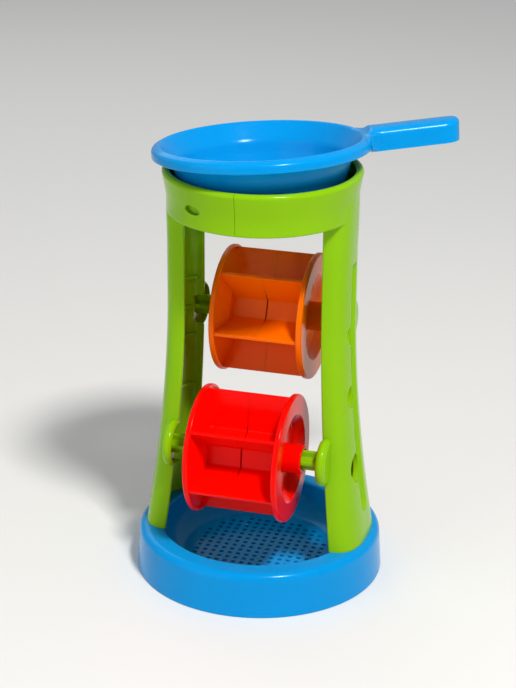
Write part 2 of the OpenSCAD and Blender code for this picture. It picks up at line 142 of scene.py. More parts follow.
def roundTree():  # copies of an open unit, welded to one closed shape
    tree = bpy.data.node_groups.new("repeatRoundAxle", "GeometryNodeTree")
    keys = treeInputs(tree, {
        "Count": "NodeSocketInt", "Weld": "NodeSocketFloat", "Plastic": "NodeSocketMaterial"})
    given = addNode(tree, "NodeGroupInput").outputs
    points = addNode(tree, "GeometryNodePoints", inputs={"Count": given["Count"]})
    index = addNode(tree, "GeometryNodeInputIndex")
    share = addNode(tree, "ShaderNodeMath", {"operation": "DIVIDE"}, {
        "Value": index.outputs[0], "Value_001": given["Count"]})
    turn = addNode(tree, "ShaderNodeMath", {"operation": "MULTIPLY"}, {
        "Value": share.outputs[0], "Value_001": math.tau})
    angles = addNode(tree, "ShaderNodeCombineXYZ", inputs={"X": turn.outputs[0]})
    rotation = addNode(tree, "FunctionNodeEulerToRotation", inputs={"Euler": angles.outputs[0]})
    copies = addNode(tree, "GeometryNodeInstanceOnPoints", inputs={
        "Points": points.outputs[0], "Instance": given["Geometry"], "Rotation": rotation.outputs[0]})
    real = addNode(tree, "GeometryNodeRealizeInstances", inputs={"Geometry": copies.outputs[0]})
    welded = addNode(tree, "GeometryNodeMergeByDistance", inputs={
        "Geometry": real.outputs[0], "Distance": given["Weld"]})
    coloured = addNode(tree, "GeometryNodeSetMaterial", inputs={
        "Geometry": welded.outputs[0], "Material": given["Plastic"]})
    output = addNode(tree, "NodeGroupOutput")
    tree.links.new(coloured.outputs[0], output.inputs[0])
    return tree, keys


def pierceTree():  # a grid of square punches inside a round field, cut from a floor
    tree = bpy.data.node_groups.new("squareSieveHoles", "GeometryNodeTree")
    keys = treeInputs(tree, {
        "Pitch": "NodeSocketFloat", "Per Side": "NodeSocketInt", "Hole": "NodeSocketFloat",
        "Field": "NodeSocketFloat", "Height": "NodeSocketFloat", "Depth": "NodeSocketFloat",
        "Plastic": "NodeSocketMaterial"})
    given = addNode(tree, "NodeGroupInput").outputs
    gaps = addNode(tree, "ShaderNodeMath", {"operation": "SUBTRACT"}, {
        "Value": given["Per Side"], "Value_001": 1.0})
    width = addNode(tree, "ShaderNodeMath", {"operation": "MULTIPLY"}, {
        "Value": gaps.outputs[0], "Value_001": given["Pitch"]})
    grid = addNode(tree, "GeometryNodeMeshGrid", inputs={
        "Size X": width.outputs[0], "Size Y": width.outputs[0],
        "Vertices X": given["Per Side"], "Vertices Y": given["Per Side"]})
    where = addNode(tree, "GeometryNodeInputPosition")
    away = addNode(tree, "ShaderNodeVectorMath", {"operation": "LENGTH"}, {"Vector": where.outputs[0]})
    inField = addNode(tree, "FunctionNodeCompare", {"operation": "LESS_EQUAL"}, {
        "A": away.outputs["Value"], "B": given["Field"]})
    size = addNode(tree, "ShaderNodeCombineXYZ", inputs={
        "X": given["Hole"], "Y": given["Hole"], "Z": given["Depth"]})
    punch = addNode(tree, "GeometryNodeMeshCube", inputs={"Size": size.outputs[0]})
    punches = addNode(tree, "GeometryNodeInstanceOnPoints", inputs={
        "Points": grid.outputs["Mesh"], "Selection": inField.outputs["Result"],
        "Instance": punch.outputs["Mesh"]})
    lift = addNode(tree, "ShaderNodeCombineXYZ", inputs={"Z": given["Height"]})
    raised = addNode(tree, "GeometryNodeTransform", inputs={
        "Geometry": punches.outputs[0], "Translation": lift.outputs[0]})
    real = addNode(tree, "GeometryNodeRealizeInstances", inputs={"Geometry": raised.outputs[0]})
    pierced = addNode(tree, "GeometryNodeMeshBoolean", {"operation": "DIFFERENCE", "solver": "MANIFOLD"}, {
        "Mesh 1": given["Geometry"], "Mesh 2": real.outputs[0]})
    coloured = addNode(tree, "GeometryNodeSetMaterial", inputs={
        "Geometry": pierced.outputs[0], "Material": given["Plastic"]})
    output = addNode(tree, "NodeGroupOutput")
    tree.links.new(coloured.outputs[0], output.inputs[0])
    return tree, keys


repeatRound, roundKeys = roundTree()
pierce, pierceKeys = pierceTree()


# Mesh helpers
weld = dict(points=0.002, slivers=0.004, copies=0.01)  # mm, points nearer than this become one
cornerShare = 0.49  # the most of a side that a round corner takes
sharpAngle = 38  # degrees, edges sharper than this are drawn as edges
past = 1  # mm, how far a cutter or a fused end runs on
zToX = Matrix.Rotation(math.radians(90), 4, "Y")  # lays an upright shape along the axles


def softCorners(corners, steps=4):  # polygon corners (x, y, radius) to a line with round corners
    line = []
    for i, (x, y, radius) in enumerate(corners):
        here = Vector((x, y))
        if radius <= 0:
            line.append(here)
            continue
        before = Vector(corners[i - 1][:2]) - here
        after = Vector(corners[(i + 1) % len(corners)][:2]) - here
        angle = before.angle(after)
        room = cornerShare * min(before.length, after.length)
        reach = min(radius / math.tan(angle / 2), room)
        before.normalize()
        after.normalize()
        middle = here + (before + after).normalized() * (reach / math.cos(angle / 2))
        first, last = here + before * reach - middle, here + after * reach - middle
        sweep = first.angle(last)
        for k in range(steps + 1):
            t = k / steps
            arm = first * math.sin((1 - t) * sweep) + last * math.sin(t * sweep)
            line.append(middle + arm / math.sin(sweep))
    return line


def arcPoints(x, y, radius, start, end, steps):  # corners on an arc, its angles in degrees
    turns = [math.radians(start + (end - start) * i / steps) for i in range(steps + 1)]
    return [(x + radius * math.cos(a), y + radius * math.sin(a), 0) for a in turns]


def inset(line, depth):  # a closed line moved inwards
    moved = []
    for i, p in enumerate(line):
        along = (line[(i + 1) % len(line)] - line[i - 1]).normalized()
        moved.append(p + Vector((-along.y, along.x)) * depth)
    return moved


def spun(line, segments):  # a closed line in (radius, height) turned round the Z axis
    turns = [math.tau * i / segments for i in range(segments)]
    verts, rings, faces = [], [], []
    for p in line:
        if p[0] < 1e-6:  # a point on the axis
            rings.append([len(verts)] * segments)
            verts.append((0, 0, p[1]))
        else:
            rings.append([len(verts) + i for i in range(segments)])
            verts += [(p[0] * math.cos(a), p[0] * math.sin(a), p[1]) for a in turns]
    for k, low in enumerate(rings):
        high = rings[(k + 1) % len(rings)]
        for i in range(segments):
            j = (i + 1) % segments
            corners = list(dict.fromkeys([low[i], low[j], high[j], high[i]]))
            if len(corners) > 2:
                faces.append(corners)
    return verts, faces


def lofted(loops):  # closed loops joined one after another, with flat ends
    count = len(loops[0])
    verts = [tuple(p) for loop in loops for p in loop]
    faces = []
    for k in range(len(loops) - 1):
        low, high = k * count, (k + 1) * count
        for i in range(count):
            j = (i + 1) % count
            faces.append((low + i, low + j, high + j, high + i))
    faces += [tuple(reversed(range(count))), tuple(range(len(verts) - count, len(verts)))]
    return verts, faces


def shaped(name, solid, place=None, closed=True):  # a mesh object in metres
    verts, faces = solid
    place = place or Matrix()
    mesh = bpy.data.meshes.new(name)
    mesh.from_pydata([(place @ Vector(v)) * mm for v in verts], [], faces)
    if closed:
        work = bmesh.new()
        work.from_mesh(mesh)
        bmesh.ops.remove_doubles(work, verts=work.verts, dist=weld["points"] * mm)
        bmesh.ops.recalc_face_normals(work, faces=work.faces)
        work.to_mesh(mesh)
        work.free()
    piece = bpy.data.objects.new(name, mesh)
    scene.collection.objects.link(piece)
    return piece


def baked(piece):  # the evaluated result becomes the piece's plain mesh
    bpy.context.view_layer.update()
    graph = bpy.context.evaluated_depsgraph_get()
    result = bpy.data.meshes.new_from_object(piece.evaluated_get(graph))
    piece.modifiers.clear()
    old = piece.data
    piece.data = result
    bpy.data.meshes.remove(old)
    return piece


def treeApplied(piece, tree, keys, values):  # a node tree with its inputs set, then baked
    made = piece.modifiers.new("nodes", "NODES")
    made.node_group = tree
    for name, value in values.items():
        made[keys[name]] = value
    return baked(piece)


def combined(piece, add=(), cut=()):  # closed shapes added to a piece or cut from it
    tools = [(tool, "UNION") for tool in add] + [(tool, "DIFFERENCE") for tool in cut]
    for tool, operation in tools:
        step = piece.modifiers.new("shape", "BOOLEAN")
        step.operation = operation
        step.solver = "MANIFOLD"
        step.object = tool
    baked(piece)
    for tool, operation in tools:
        bpy.data.objects.remove(tool)
    return piece


def settled(piece, place):  # closed, faced outwards and moved to its place
    work = bmesh.new()
    work.from_mesh(piece.data)
    bmesh.ops.remove_doubles(work, verts=work.verts, dist=weld["copies"] * mm)
    bmesh.ops.recalc_face_normals(work, faces=work.faces)
    moved = place.copy()
    moved.translation = place.translation * mm
    bmesh.ops.transform(work, matrix=moved, verts=work.verts)
    if moved.determinant() < 0:
        bmesh.ops.reverse_faces(work, faces=work.faces)
    work.to_mesh(piece.data)
    work.free()
    return piece


def cleaned(mesh):  # slivers that the cuts leave are closed up
    work = bmesh.new()
    work.from_mesh(mesh)
    bmesh.ops.remove_doubles(work, verts=work.verts, dist=weld["slivers"] * mm)
    bmesh.ops.dissolve_degenerate(work, edges=work.edges, dist=weld["slivers"] * mm)
    folded = [vert for vert in work.verts if len(vert.link_edges) == 2]  # two faces lie back to back
    bmesh.ops.dissolve_verts(work, verts=folded)
    work.to_mesh(mesh)
    work.free()


def finished(piece, key, body, node):  # smooth faces, material and place in the frame
    mesh = piece.data
    cleaned(mesh)
    mesh.materials.clear()
    mesh.materials.append(paint[key])
    mesh.shade_smooth()
    mesh.set_sharp_from_angle(angle=math.radians(sharpAngle))
    even = piece.modifiers.new("evenNormals", "WEIGHTED_NORMAL")
    even.keep_sharp = True
    even.weight = 100
    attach(piece, body)
    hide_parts(node)
    print(piece.name, "made:", len(mesh.polygons), "faces")
    return piece


def uprightBlock(name, at, thick, wide, low, high):  # a plate that stands across the X axis
    loop = [(at + x * thick / 2, y * wide / 2) for x, y in ((-1, -1), (1, -1), (1, 1), (-1, 1))]
    return shaped(name, lofted([[(x, y, z) for x, y in loop] for z in (low, high)]))


def barAlongX(name, radius, start, end, y, z, segments=64):
    place = Matrix.Translation((start, y, z)) @ zToX
    line = [(0, 0), (radius, 0), (radius, end - start), (0, end - start)]
    return shaped(name, spun(line, segments), place)


# Base: an outer wall with a soft edge, a bowl with a pierced floor, hollow underneath
baseSize = dict(
    foot=85, footEdge=0.8, top=83.2, height=31, edge=5.5, mouth=67, mouthEdge=2.2,
    floor=51, floorTop=8, wall=2.5, bowlSteps=14, edgeSteps=6, segments=192,
    hole=3, pitch=6, perSide=17, field=46.9, punch=7.5,
    slotLong=24.6, slotWide=2.6, slotAt=75.6, slotDeep=8,
)


def bowlLine(mouth, rim, floorTop):  # quarter ellipse from the mouth to the floor
    s = baseSize
    line = []
    for i in range(1, s["bowlSteps"] + 1):
        t = math.pi / 2 * i / s["bowlSteps"]
        r = s["floor"] + (mouth - s["floor"]) * math.cos(t)
        line.append((r, rim - (rim - floorTop) * math.sin(t), 0))
    return line


def baseTray():
    s = baseSize
    wall, height = s["wall"], s["height"]
    under, floorUnder = height - wall, s["floorTop"] - wall
    corners = [(s["foot"], 0, s["footEdge"]), (s["top"], height, s["edge"]),
               (s["mouth"], height, s["mouthEdge"])]
    corners += bowlLine(s["mouth"], height - s["mouthEdge"], s["floorTop"])
    corners += [(0, s["floorTop"], 0), (0, floorUnder, 0)]
    corners += reversed(bowlLine(s["mouth"] + wall, under, floorUnder))
    corners += [(s["mouth"] + wall, under, 0), (s["top"] - wall, under, s["edge"] - wall),
                (s["foot"] - wall, 0, s["footEdge"])]
    tray = shaped("baseTray", spun(softCorners(corners, s["edgeSteps"]), s["segments"]))
    combined(tray, cut=[uprightBlock("slot", side * s["slotAt"], s["slotWide"], s["slotLong"],
                                     height - s["slotDeep"], height + s["slotDeep"]) for side in (-1, 1)])
    treeApplied(tray, pierce, pierceKeys, {
        "Pitch": s["pitch"] * mm, "Per Side": s["perSide"], "Hole": s["hole"] * mm,
        "Field": s["field"] * mm, "Height": (s["floorTop"] - wall / 2) * mm,
        "Depth": s["punch"] * mm, "Plastic": paint["blue"]})
    return finished(tray, "blue", "stand", "base_tray")


baseTray()

# Frame halves: a flared column, open inwards, with half of the ring, two cups and low ribs inside
axleAt = {"upper": (29.5, 175), "lower": (-29.5, 95)}  # y and z, for the cups, the axles and the wheels
frameSize = dict(
    low=31, high=276, flareFrom=195, flarePower=1.8, square=2.8, wall=3.0, lipRound=1.2,
    halfWide=(23, 34), openEdge=(46.8, 58), face=(63, 77.5),  # at the top and at the foot
    shoulder=0.5, shoulderFrom=232, shoulderLong=24,  # the face stands out a little where the ring joins it
    facePoints=108, bowSteps=400, rise=1.7,  # points along a wall, mm between levels
    channelLevels=12, channelThin=8,  # levels of the room inside, one of so many points of its wall
    grooveWide=13, grooveDeep=2.6, grooveLow=49, grooveHigh=227, grooveEdge=2.4,
    holes=((83.5, 10.8), (135, 8.2), (178.5, 6.7)), holeTo=90,  # height and radius
    ribs=(118, 156, 177, 198), ribThick=2, ribHigh=2, ribBack=3.7, ribPoints=60,
    tenonLong=10, tenonWide=24, tenonThick=2, tenonAt=75.6,
)
ringSize = dict(
    radius=62.8, wall=2.6, low=258, high=287, lowEdge=1.2, throat=48.87, throatEdge=0.8,
    ledge=3, ledgeEdge=1.0, lipOut=3, lipHigh=19, lipBlend=80, lipArc=(-6, 160), lipSteps=16,
    seam=0.2, seamRound=0.3, seamSteps=4, edgeSteps=5, segments=72, topRoom=5,
    windowLong=13.5, windowHigh=6.4, windowUp=12.5, windowTurn=29, windowStep=8,
    tongue=2, tongueRoot=12, tongueFree=0.5, tongueEdge=0.5, tongueFace=0.3, tongueSteps=32,
    slack=0.3, snap=0.4,
)
cupSize = dict(
    radius=16, at=49.5, thick=7, dish=4.4, dishEdge=1.4, dishRound=1.2, lipRound=0.6, rim=2,
    beadTurn=80, beadSteps=12, edgeSteps=5, segments=72, trim=19.2,
    bore=7.0, boreDeep=6, boreSegments=48,
)


def flare(z):  # 0 above the flare, 1 at the foot
    s = frameSize
    return (max(0, s["flareFrom"] - z) / (s["flareFrom"] - s["low"])) ** s["flarePower"]


def atHeight(pair, z):  # a size that is given at the top and at the foot
    return pair[0] + (pair[1] - pair[0]) * flare(z)


def smoothStep(t):  # a soft ramp from 0 to 1
    t = min(1, max(0, t))
    return t * t * (3 - 2 * t)


def grooveDepth(y, z, wider):  # how far a point on the column's face is pushed in
    s = frameSize
    half = s["grooveWide"] / 2 + wider
    low = s["grooveLow"] - wider + half
    high = s["grooveHigh"] + wider - half
    away = math.hypot(y, max(0, low - z, z - high))
    return s["grooveDeep"] * smoothStep((half - away) / s["grooveEdge"])


def evenLine(points, count):  # the same line with evenly spaced points
    lengths = [0]
    for a, b in zip(points, points[1:]):
        lengths.append(lengths[-1] + (b - a).length)
    line, k = [], 0
    for i in range(count):
        want = lengths[-1] * i / (count - 1)
        while k < len(points) - 2 and lengths[k + 1] < want:
            k += 1
        span = lengths[k + 1] - lengths[k]
        line.append(points[k].lerp(points[k + 1], (want - lengths[k]) / span if span else 0))
    return line


def bowedWall(z, inward, margin):  # the column's bowed face at a height, without its open edges
    s = frameSize
    edge, power = atHeight(s["openEdge"], z), 2 / s["square"]
    face, half = atHeight(s["face"], z) - inward, atHeight(s["halfWide"], z) - inward
    face += s["shoulder"] * smoothStep((z - s["shoulderFrom"]) / s["shoulderLong"])
    points = []
    for i in range(s["bowSteps"] + 1):
        a = math.radians(-90 + 180 * i / s["bowSteps"])
        x = edge + (face - edge) * math.cos(a) ** power if abs(a) < math.pi / 2 else edge
        y = half * math.copysign(abs(math.sin(a)) ** power, a)
        if x >= edge + margin:
            points.append(Vector((x, y)))
    return points


def columnLoop(z):  # the column's open section, with its groove pushed in
    s = frameSize
    edge, half = atHeight(s["openEdge"], z), atHeight(s["halfWide"], z)
    outer = evenLine(bowedWall(z, 0, 2 * s["lipRound"]), s["facePoints"])
    inner = evenLine(bowedWall(z, s["wall"], 2 * s["lipRound"]), s["facePoints"])
    outer = [(p.x - grooveDepth(p.y, z, 0), p.y, 0) for p in outer]
    inner = [(p.x - grooveDepth(p.y, z, s["wall"]), p.y, 0) for p in inner]
    ends = [[(edge, side * half, s["lipRound"]), (edge, side * (half - s["wall"]), s["lipRound"])]
            for side in (1, -1)]
    corners = outer + ends[0] + inner[::-1] + ends[1][::-1]
    return [(p.x, p.y, z) for p in softCorners(corners)]


def ringHalf():  # half of the ring, from seam to seam
    s = ringSize
    inner, shelf = s["radius"] - s["wall"], s["low"] + s["ledge"]
    roll, lipFrom = (s["lipOut"] + s["wall"]) / 2, s["high"] - s["lipHigh"]
    lipAt = s["radius"] + s["lipOut"] - roll
    corners = [(s["throat"], s["low"], s["throatEdge"]), (s["radius"], s["low"], s["lowEdge"]),
               (s["radius"], lipFrom, s["lipBlend"])]
    corners += arcPoints(lipAt, s["high"] - roll, roll, *s["lipArc"], s["lipSteps"])
    corners += [(inner, lipFrom - s["wall"], s["lipBlend"]), (inner, shelf, s["ledgeEdge"]),
                (s["throat"], shelf, s["throatEdge"])]
    line = softCorners(corners, s["edgeSteps"])
    turns = []
    for i in range(s["seamSteps"] + 1):  # rounded edge along the seam
        a = math.pi / 2 * i / s["seamSteps"]
        along = s["seam"] / 2 + s["seamRound"] * (1 - math.cos(a))
        turns.append((-90 + math.degrees(along / s["radius"]), s["seamRound"] * (1 - math.sin(a))))
    otherEnd = [(-angle, depth) for angle, depth in reversed(turns)]
    last = turns[-1][0]
    between = [-90 + 180 * i / s["segments"] for i in range(1, s["segments"])]
    turns += [(angle, 0) for angle in between if last < angle < -last] + otherEnd
    loops = []
    for angle, depth in turns:
        a = math.radians(angle)
        loops.append([(p.x * math.cos(a), p.x * math.sin(a), p.y) for p in inset(line, depth)])
    return lofted(loops)


def channelSpace(low, high):  # the room inside a column, from its inner wall to the toy's middle
    s = frameSize
    loops = []
    for k in range(s["channelLevels"] + 1):
        z = low + (high - low) * k / s["channelLevels"]
        wall = bowedWall(z, s["wall"], 0)[::s["channelThin"]]
        loops.append([(0, wall[0].y, z)] + [(p.x, p.y, z) for p in wall] + [(0, wall[-1].y, z)])
    return shaped("channel", lofted(loops))


def cupShape(y, z):  # a dished button with a round edge, cut away where its column is hollow
    s = cupSize
    bead = s["thick"] / 2
    flat = s["radius"] - bead
    corners = [(0, s["dish"], 0), (flat - s["dishEdge"], s["dish"], s["dishRound"]),
               (flat, 0, s["lipRound"])]
    corners += arcPoints(flat, bead, bead, -s["beadTurn"], s["beadTurn"], s["beadSteps"])
    corners += [(flat, s["thick"], 0), (0, s["thick"], 0)]
    solid = spun(softCorners(corners, s["edgeSteps"]), s["segments"])
    cup = shaped("cup", solid, Matrix.Translation((s["at"], y, z)) @ zToX)
    return combined(cup, cut=[channelSpace(z - s["trim"], z + s["trim"])])


def ribPlate(z):  # a low rib across the inside of the column
    s = frameSize
    back = evenLine(bowedWall(z, s["wall"] / 2, s["ribBack"]), s["ribPoints"])
    front = evenLine(bowedWall(z, s["wall"] + s["ribHigh"], s["ribBack"]), s["ribPoints"])
    line = [(p.x - grooveDepth(p.y, z, s["wall"]), p.y) for p in back + front[::-1]]
    levels = [z + up * s["ribThick"] / 2 for up in (-1, 1)]
    return shaped("rib", lofted([[(x, y, level) for x, y in line] for level in levels]))


def windowOval(side, margin, start, end):  # the ring's window, or the snap that fills it
    s = ringSize
    high, long = s["windowHigh"] / 2 - margin, s["windowLong"] / 2 - margin
    turns = [math.radians(a) for a in range(0, 360, s["windowStep"])]
    middle = s["low"] + s["windowUp"]
    oval = [(long * math.cos(a), middle + high * math.sin(a)) for a in turns]
    place = Matrix.Rotation(math.radians(side * (90 + s["windowTurn"])), 4, "Z")
    return shaped("oval", lofted([[(x, u, v) for u, v in oval] for x in (start, end)]), place)


def tongueStrip(side):  # runs from the right half behind the left half's window
    s = ringSize
    out = s["radius"] - s["wall"] - s["slack"]
    inside = out - s["tongue"]
    reach = s["windowTurn"] + math.degrees(math.asin(s["windowLong"] / s["radius"]))
    low = s["low"] + s["windowUp"] - s["windowHigh"] / 2
    high = s["low"] + s["windowUp"] + s["windowHigh"] / 2
    loops = []
    for i in range(s["tongueSteps"] + 1):
        turn = 90 - s["tongueRoot"] + (reach + s["tongueRoot"]) * i / s["tongueSteps"]
        far = out + (s["wall"] if turn < 90 - s["tongueFree"] else 0)  # the root is fused with its own half
        loop = softCorners([(inside, low, s["tongueEdge"]), (far, low, s["tongueFace"]),
                            (far, high, s["tongueFace"]), (inside, high, s["tongueEdge"])], steps=3)
        a = math.radians(side * turn)
        loops.append([(p.x * math.cos(a), p.x * math.sin(a), p.y) for p in loop])
    return shaped("tongue", lofted(loops))


def frameHalves():
    s, r, c = frameSize, ringSize, cupSize
    inner, shelf, above = r["radius"] - r["wall"], r["low"] + r["ledge"], r["high"] + r["topRoom"]
    levels = int((s["high"] - s["low"]) / s["rise"])
    heights = [s["low"] + (s["high"] - s["low"]) * k / levels for k in range(levels + 1)]
    right = shaped("rightFrame", lofted([columnLoop(z) for z in heights]))
    inside = [(0, shelf), (inner, shelf), (inner, above), (0, above)]
    combined(right, cut=[shaped("ringInside", spun(inside, 2 * r["segments"]))])
    added = [shaped("ring", ringHalf())] + [cupShape(y, z) for y, z in axleAt.values()]
    added += [ribPlate(z) for z in s["ribs"]]
    added.append(uprightBlock("tenon", s["tenonAt"], s["tenonThick"], s["tenonWide"],
                              s["low"] - s["tenonLong"], s["low"] + past))
    combined(right, add=added)
    start, notch = atHeight(s["openEdge"], s["high"]) - past, c["radius"] - c["rim"]
    cut = [barAlongX("socket", c["bore"], start, c["at"] + c["boreDeep"], y, z, c["boreSegments"])
           for y, z in axleAt.values()]
    cut += [barAlongX("notch", notch, start, c["at"] + c["dish"], y, z) for y, z in axleAt.values()]
    cut += [barAlongX("hole", radius, atHeight(s["openEdge"], z), s["holeTo"], -s["grooveWide"] / 2, z)
            for z, radius in s["holes"]]
    combined(right, cut=cut)
    left = right.copy()
    left.data = right.data.copy()
    left.name = "leftFrame"
    scene.collection.objects.link(left)
    left.data.transform(Matrix.Diagonal((-1, 1, 1, 1)))
    left.data.flip_normals()
    sides = (-1, 1)
    combined(left, cut=[windowOval(side, 0, inner - past, r["radius"] + r["lipOut"]) for side in sides])
    strip = inner - r["slack"]
    snaps = [windowOval(side, 2 * r["slack"], strip - past, strip + r["snap"]) for side in sides]
    combined(right, add=[tongueStrip(side) for side in sides] + snaps)
    finished(left, "lime", "stand", "left_frame")
    finished(right, "lime", "stand", "right_frame")


frameHalves()

# Axles: rods with a cross-shaped section, a quarter of the rod repeated round its axis
axleSize = dict(
    half=55.3, radius=6.8, rib=3.0, core=3.2, ribs=4, end=0.6, rootOut=0.4, tipCrown=0.15, edge=0.5,
)


def axleRod(level):
    s = axleSize
    half, sector = s["rib"] / 2, math.pi / s["ribs"]
    root = math.sqrt(s["core"] ** 2 - half ** 2) + s["rootOut"]
    tip = s["radius"] - s["tipCrown"]
    side = [(s["core"] * math.cos(sector), -s["core"] * math.sin(sector), 0),
            (root, -half, s["edge"]), (tip, -half, s["edge"])]
    quarter = side + [(s["radius"], 0, 0)] + [(x, -y, r) for x, y, r in reversed(side)]
    line = [tuple(p) for p in softCorners(quarter, steps=3)]
    count = len(line)
    small = 1 - s["end"] / s["radius"]
    straight = s["half"] - s["end"]
    stations = [(-s["half"], small), (-straight, 1), (straight, 1), (s["half"], small)]
    verts = [(x, a * grow, b * grow) for x, grow in stations for a, b in line]
    faces = []
    for k in range(len(stations) - 1):
        low, high = k * count, (k + 1) * count
        faces += [(low + i, low + i + 1, high + i + 1, high + i) for i in range(count - 1)]
    for k in (0, len(stations) - 1):  # the ends, open where the next quarter goes on
        middle = len(verts)
        verts.append((stations[k][0], 0, 0))
        faces += [(middle, k * count + i, k * count + i + 1) for i in range(count - 1)]
    rod = shaped(level + "Axle", (verts, faces), closed=False)
    treeApplied(rod, repeatRound, roundKeys, {
        "Count": s["ribs"], "Weld": weld["copies"] * mm, "Plastic": paint["lime"]})
    settled(rod, Matrix.Translation((0, *axleAt[level])))
    return finished(rod, "lime", "stand", level + "_axle")


for level in axleAt:
    axleRod(level)

# Wheels: each half is a dished disc with a sleeve, and a drum with paddles that meets the other half
wheelSize = dict(
    radius=43.3, face=32.2, rim=4, band=2.4, wall=2.4, recess=30, recessDeep=6.5, segments=160,
    rimRound=1.5, edge=0.8, softEdge=1.0, recessEdge=1.2, recessRoot=2.0, webRound=6.0, edgeSteps=5,
    paddles=6, paddleTip=41.8, drum=16, rootRound=1.6, rootReach=2.2, tipRound=1.0,
    sleeve=9.75, bore=7.1, boreEdge=0.5, sleeveOut=7.2, spigot=7, spigotGap=0.15,
    seam=0.4, seamEdge=0.3, drumGap=0.5, paddleGap=0.03,
)
wheels = {
    "upper": dict(along=-1.2, turn=53, key="orange"),
    "lower": dict(along=-0.8, turn=37, key="red"),
}


def wheelDisc(isLeft):  # rim, dished web, sleeve and inner tube, as radius and distance from the middle
    s = wheelSize
    edge, softEdge, seamEdge, wall = [s[key] for key in ("edge", "softEdge", "seamEdge", "wall")]
    web, inWeb = s["face"] - s["recessDeep"], s["face"] - s["recessDeep"] - wall
    rimIn, sleeveEnd = s["face"] - s["rim"], s["face"] + s["sleeveOut"]
    bandIn, recessIn = s["radius"] - s["band"], s["recess"] - s["recessDeep"]
    corners = [(s["radius"], rimIn, softEdge), (s["radius"], s["face"], s["rimRound"]),
               (s["recess"], s["face"], s["recessEdge"]), (recessIn, web, s["recessRoot"]),
               (s["sleeve"], web, softEdge), (s["sleeve"], sleeveEnd, edge),
               (s["bore"], sleeveEnd, s["boreEdge"])]
    if isLeft:
        corners += [(s["bore"], -s["spigot"], seamEdge), (s["sleeve"], -s["spigot"], edge)]
    else:
        low, socket = s["seam"] / 2, s["sleeve"] + s["spigotGap"]
        deep, end = s["spigot"] + low, s["spigot"] + wall
        corners += [(s["bore"], deep, 0), (socket, deep, 0), (socket, low, seamEdge),
                    (socket + wall, low, seamEdge), (socket + wall, end, edge), (s["sleeve"], end, edge)]
    corners += [(s["sleeve"], inWeb, softEdge), (recessIn, inWeb, s["webRound"]),
                (bandIn, s["face"] - wall, edge), (bandIn, rimIn, edge)]
    return spun(softCorners(corners, s["edgeSteps"]), s["segments"])


def paddleUnit():  # one paddle with its share of the drum, open where it meets the next
    s = wheelSize
    half, sector = s["wall"] / 2, math.pi / s["paddles"]
    flat = s["drum"] * math.cos(sector)
    innerDrum = s["drum"] - s["wall"] / math.cos(sector)
    bandIn = s["radius"] - s["band"]
    recessIn = s["recess"] - s["recessDeep"]
    web = s["face"] - s["recessDeep"] - s["wall"] / 2
    root = s["drum"] - half * math.tan(sector)
    side = [(flat * math.cos(sector), -flat * math.sin(sector), 0), (root, -half, s["rootRound"]),
            (s["drum"] + s["rootReach"] * s["rootRound"], -half, 0), (recessIn, -half, 0),
            (bandIn, -half, 0), (s["paddleTip"], -half, s["tipRound"])]
    corners = side + [(x, -y, r) for x, y, r in reversed(side)]
    outline = softCorners(corners)
    cutX = innerDrum * math.cos(sector) * math.cos(sector)
    cutY = innerDrum * math.cos(sector) * math.sin(sector)
    loop = [tuple(p) for p in outline] + [(cutX, cutY), (innerDrum, 0), (cutX, -cutY)]

    def low(x, y):  # the halves touch at the paddles and inside the drum, and leave a groove outside it
        r = math.hypot(x, y)
        share = smoothStep((r - s["drum"] - s["rootRound"]) / s["rootRound"]) if r > innerDrum else 1
        return s["drumGap"] + (s["paddleGap"] - s["drumGap"]) * share

    def reach(x, y):  # buried in the disc's wall
        r = min(math.hypot(x, y), bandIn)
        slope = (s["face"] - s["wall"] / 2 - web) / (bandIn - recessIn)
        return web + slope * max(0, r - recessIn)

    count, outCount = len(loop), len(outline)
    verts = [(low(x, y), x, y) for x, y in loop] + [(reach(x, y), x, y) for x, y in loop]
    cuts = {outCount - 1, count - 1}  # the two cuts between neighbours stay open
    faces = []
    for i in range(count):
        j = (i + 1) % count
        if i not in cuts:
            faces.append((i, j, count + j, count + i))
    faces += [tuple(range(count)), tuple(range(2 * count - 1, count - 1, -1))]
    return verts, faces


def wheelHalf(level, side):
    wheel, isLeft = wheels[level], side == "left"
    paddles = shaped("paddles", paddleUnit(), closed=False)
    treeApplied(paddles, repeatRound, roundKeys, {
        "Count": wheelSize["paddles"], "Weld": weld["copies"] * mm, "Plastic": paint[wheel["key"]]})
    settled(paddles, Matrix())
    half = shaped(level + "Wheel" + side.capitalize(), wheelDisc(isLeft), zToX)
    combined(half, add=[paddles])
    flip = Matrix.Diagonal((-1 if isLeft else 1, 1, 1, 1))
    turn = Matrix.Rotation(math.radians(180 - wheel["turn"]), 4, "X")  # measured up from the front
    settled(half, Matrix.Translation((wheel["along"], *axleAt[level])) @ flip @ turn)
    return finished(half, wheel["key"], level + "_wheel", level + "_wheel_" + side)


for level in wheels:
    for side in ("left", "right"):
        wheelHalf(level, side)

